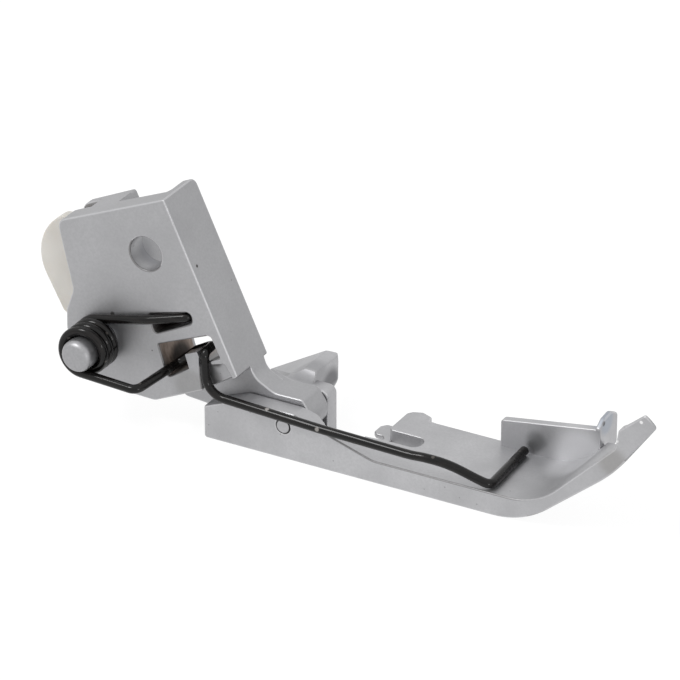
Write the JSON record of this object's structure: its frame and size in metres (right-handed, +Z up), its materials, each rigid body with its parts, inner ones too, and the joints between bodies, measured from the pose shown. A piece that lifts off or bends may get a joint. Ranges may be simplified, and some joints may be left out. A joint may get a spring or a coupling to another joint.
{
  "type": "sewing machine presser foot",
  "caption": "Presser foot with a grooved shank holder, a hinged sole with a turned-up toe, a needle slot and an upright edge guide, and a wire spring that presses the toe down.",
  "frame": {"origin": "on the sole's flat underside, straight below the middle of the hinge pin", "axes": "+X towards the turned-up toe, +Y across the sole away from the clamp screw's side, +Z up; the hinge pin runs along Y"},
  "size_m": [0.067, 0.0179, 0.0246],
  "materials": {
    "cast_metal": "satin",
    "pin_steel": "satin",
    "blackened_wire": "black oxide, half gloss",
    "nylon": "natural, translucent white"
  },
  "bodies": {
    "sole": {"foot_sole": "cast_metal", "hinge_pin": "pin_steel"},
    "holder": {"holder_body": "cast_metal", "spring_post": "pin_steel", "nylon_buffer": "nylon"},
    "spring": {"torsion_spring": "blackened_wire"}
  },
  "joints": [
    {"name": "holder_tilt", "type": "hinge", "parent": "sole", "child": "holder", "pos_m": [0, 0, 0.00345], "axis": [0, 1, 0], "range_deg": [0, 30], "stiffness_Nm_per_rad": 0.02, "springref_deg": -11.46, "deforming": ["torsion_spring"]},
    {"name": "spring_turn", "type": "hinge", "parent": "holder", "child": "spring", "pos_m": [-0.01974, 0, 0.00823], "axis": [0, 1, 0], "range_deg": [-17, 0], "deforming": ["torsion_spring"]}
  ],
  "couplings": [
    {"joint": "spring_turn", "follows": "holder_tilt", "ratio": -0.56}
  ]
}
